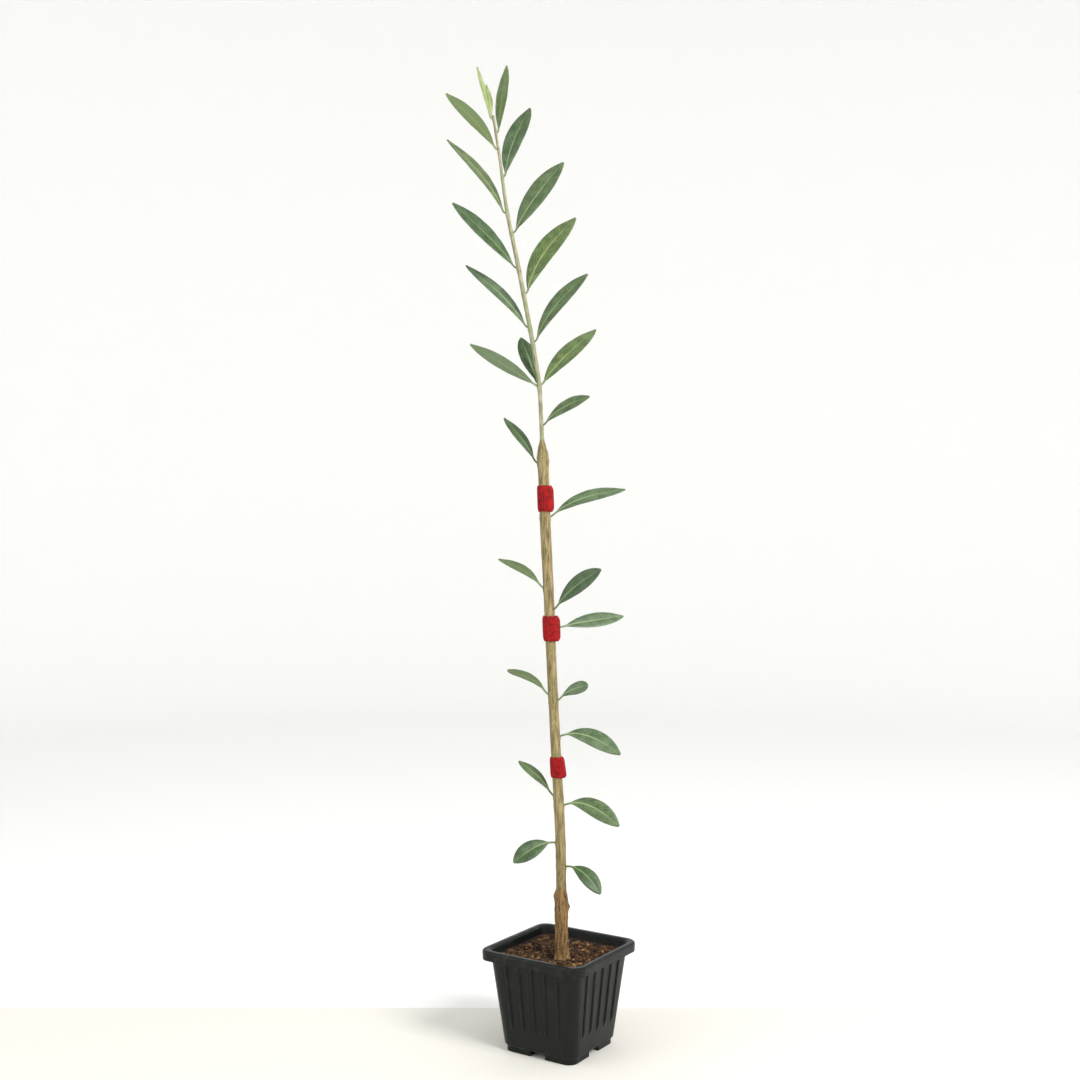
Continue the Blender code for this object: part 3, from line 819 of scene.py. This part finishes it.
for leaf in LEAVES:
    shares = [(step / LEAF_RINGS) ** 1.25 for step in range(LEAF_RINGS)] + [0.995]
    sections = [leaf_section(leaf, share) for share in shares]
    points, faces = loft([[point for point, _ in section] for section in sections])
    around = len(sections[0])
    caps = [1, 1]
    which = [0 if i % around < TOP_COLUMNS - 1 else 1 for i in range(len(faces) - 2)] + caps
    blade = make_piece(leaf.name + "_blade", points, faces, leaf_faces[leaf.tone], which, FAN_TURN)
    offs = [off for section in sections for _, off in section]
    chart = blade.data.uv_layers.new(name="blade")
    for loop in blade.data.loops:
        vertex = loop.vertex_index
        chart.data[loop.index].uv = (shares[vertex // around], MAP_SHIFT + offs[vertex])
    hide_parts(leaf.name)


# The stage: a pale round studio with a soft warm wall, and the pale board that the pot
# stands on, whose back edge shows as a faint line.

def plain_finish(name, colour, roughness):
    """Plain matt paper."""
    material, _, shader = new_finish(name, roughness, 0.2)
    shader.inputs["Base Color"].default_value = colour
    return material


STUDIO_RADIUS = 2200
STUDIO_HEIGHT = 2400
STUDIO_SIDES = 96
STUDIO_FLOOR = -1.0
COVE = 500                     # radius of the curve from the floor up to the wall
BOARD_TOP = -0.1
BOARD_REACH = 700              # half its width
BOARD_FRONT = -600
BOARD_BACK = 73


def make_stage(name, points, faces, finish):
    """A smooth mesh that stands still round the plant, from points in millimetres."""
    mesh = bpy.data.meshes.new(name)
    mesh.from_pydata([Vector(point) * MM for point in points], [], faces)
    mesh.materials.append(finish)
    mesh.shade_smooth()
    stage = bpy.data.objects.new(name, mesh)
    bpy.context.scene.collection.objects.link(stage)
    return stage


profile = [(0.001, STUDIO_FLOOR), (STUDIO_RADIUS - COVE, STUDIO_FLOOR)]
for degrees in range(10, 91, 10):
    rise = math.radians(degrees)
    out = STUDIO_RADIUS - COVE + COVE * math.sin(rise)
    profile.append((out, STUDIO_FLOOR + COVE - COVE * math.cos(rise)))
profile.append((STUDIO_RADIUS, STUDIO_HEIGHT))
studio_rings = []
for out, height in profile:
    angles = [math.tau * i / STUDIO_SIDES for i in range(STUDIO_SIDES)]
    studio_rings.append([(out * math.cos(angle), out * math.sin(angle), height) for angle in angles])
points, faces = loft(studio_rings)
open_top = faces[:-1]
studio_paper = plain_finish("studio_paper", paint(250, 250, 249), 0.9)
studio = make_stage("studio", points, open_top, studio_paper)

toward = Matrix.Rotation(math.radians(FAN_TURN), 4, "Z")
pot_middle = Vector((*POT_PLACE, 0))
board_corners = [
    (-BOARD_REACH, BOARD_FRONT, BOARD_TOP),
    (BOARD_REACH, BOARD_FRONT, BOARD_TOP),
    (BOARD_REACH, BOARD_BACK, BOARD_TOP),
    (-BOARD_REACH, BOARD_BACK, BOARD_TOP),
]
board_points = [toward @ Vector(corner) + pot_middle for corner in board_corners]
board_paper = plain_finish("board_paper", paint(233, 230, 223), 0.85)
board = make_stage("board", board_points, [(0, 1, 2, 3)], board_paper)


# The light: a large soft key from the front right, a weaker fill from the left, and an
# even white sky.

def add_area_light(name, place, size, power, colour):
    light = bpy.data.lights.new(name, "AREA")
    light.shape = "DISK"
    light.size = size
    light.energy = power
    light.color = colour
    lamp = bpy.data.objects.new(name, light)
    bpy.context.scene.collection.objects.link(lamp)
    lamp.location = (toward @ Vector(place) + pot_middle) * MM
    aim = (pot_middle + Vector((0, 0, 300))) * MM - lamp.location
    lamp.rotation_euler = aim.to_track_quat("-Z", "Y").to_euler()


add_area_light("key", (900, -900, 1100), 0.6, 21.0, (1.0, 0.99, 0.97))
add_area_light("fill", (-1100, -600, 700), 1.0, 4.0, (0.95, 0.98, 1.0))

world = bpy.data.worlds.new("sky")
bpy.context.scene.world = world
world.use_nodes = True
sky = world.node_tree.nodes["Background"]
sky.inputs["Color"].default_value = (1.0, 1.0, 1.0, 1.0)
sky.inputs["Strength"].default_value = 0.76
bpy.context.scene.view_settings.view_transform = "Standard"


# The camera: level, 0.91 m in front of the pot and a third of a metre above the floor.

CAMERA_PLACE = (-13.2, -913.2, 343.8)

camera_data = bpy.data.cameras.new("camera")
camera_data.lens = 44.73
camera_data.sensor_width = 36.0
camera = bpy.data.objects.new("camera", camera_data)
bpy.context.scene.collection.objects.link(camera)
camera.location = (toward @ Vector(CAMERA_PLACE) + pot_middle) * MM
camera.rotation_euler = (math.radians(90), 0, math.radians(FAN_TURN))
bpy.context.scene.camera = camera
